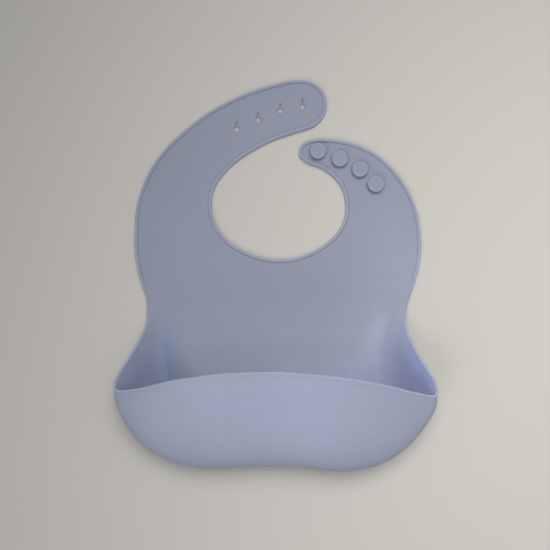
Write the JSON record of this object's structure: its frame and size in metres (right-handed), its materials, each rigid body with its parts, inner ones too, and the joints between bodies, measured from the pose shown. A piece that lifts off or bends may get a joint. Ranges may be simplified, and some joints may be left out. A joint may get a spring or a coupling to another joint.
{
  "type": "silicone baby bib",
  "caption": "Soft silicone baby bib with a wide catch pocket, a keyhole strap and a stud strap that close round the neck.",
  "frame": {"origin": "on the flat back face of the lower panel, on the bib's centre line, 29 mm below the neck opening", "axes": "+X across the bib to the right as seen from the front, +Y up the bib towards the straps, +Z out of the front face, on the side of the pocket and studs"},
  "size_m": [0.2213, 0.2769, 0.042],
  "materials": {
    "silicone": "matte moulded silicone, soft satin sheen",
    "silicone_stud": "matte moulded silicone, slightly polished"
  },
  "bodies": {
    "lower_bib": {"lower_panel": "silicone", "gusset_left": "silicone", "gusset_right": "silicone", "pocket_side_left": "silicone", "pocket_side_right": "silicone", "pocket_bottom": "silicone"},
    "pocket_wall": {"pocket_front": "silicone", "pocket_rim": "silicone"},
    "fold_band": {"fold_band": "silicone"},
    "yoke": {"yoke": "silicone"},
    "hole_strap_root": {"hole_strap_root": "silicone"},
    "hole_strap_mid": {"hole_strap_mid": "silicone"},
    "hole_strap_tip": {"hole_strap_tip": "silicone"},
    "stud_strap_root": {"stud_strap_root": "silicone", "stud_3": "silicone_stud", "stud_4": "silicone_stud"},
    "stud_strap_tip": {"stud_strap_tip": "silicone", "stud_1": "silicone_stud", "stud_2": "silicone_stud"}
  },
  "joints": [
    {"name": "pocket_flex", "type": "hinge", "parent": "lower_bib", "child": "pocket_wall", "pos_m": [0, -0.1024, 0.0277], "axis": [-1, 0, 0], "range_deg": [-6, 14], "stiffness_Nm_per_rad": 0.3},
    {"name": "panel_fold", "type": "hinge", "parent": "lower_bib", "child": "fold_band", "pos_m": [0, 0.001, 0.0032], "axis": [1, 0, 0], "range_deg": [0, 50], "stiffness_Nm_per_rad": 0.03},
    {"name": "panel_fold_upper", "type": "hinge", "parent": "fold_band", "child": "yoke", "pos_m": [0, 0.022, 0.0032], "axis": [1, 0, 0], "range_deg": [0, 50], "stiffness_Nm_per_rad": 0.03},
    {"name": "hole_strap_close", "type": "hinge", "parent": "yoke", "child": "hole_strap_root", "pos_m": [-0.0446, 0.0612, 0.0032], "axis": [0.6428, 0, -0.766], "range_deg": [0, 32], "stiffness_Nm_per_rad": 0.02},
    {"name": "hole_strap_curl", "type": "hinge", "parent": "hole_strap_root", "child": "hole_strap_mid", "pos_m": [-0.0495, 0.1087, 0.0032], "axis": [0.7799, -0.6259, 0], "range_deg": [0, 32], "stiffness_Nm_per_rad": 0.01},
    {"name": "hole_strap_tip_curl", "type": "hinge", "parent": "hole_strap_mid", "child": "hole_strap_tip", "pos_m": [-0.0212, 0.12705, 0.0032], "axis": [0.3425, -0.9395, 0], "range_deg": [0, 32], "stiffness_Nm_per_rad": 0.01},
    {"name": "stud_strap_curl", "type": "hinge", "parent": "yoke", "child": "stud_strap_root", "pos_m": [0.075, 0.0612, 0.0032], "axis": [1, 0, 0], "range_deg": [0, 35], "stiffness_Nm_per_rad": 0.01},
    {"name": "stud_strap_tip_curl", "type": "hinge", "parent": "stud_strap_root", "child": "stud_strap_tip", "pos_m": [0.0521, 0.09735, 0.0032], "axis": [0.462, 0.8869, 0], "range_deg": [0, 25], "stiffness_Nm_per_rad": 0.01}
  ],
  "couplings": [
    {"joint": "panel_fold_upper", "follows": "panel_fold", "ratio": 1},
    {"joint": "hole_strap_tip_curl", "follows": "hole_strap_curl", "ratio": 1},
    {"joint": "stud_strap_tip_curl", "follows": "stud_strap_curl", "ratio": 0.7}
  ]
}
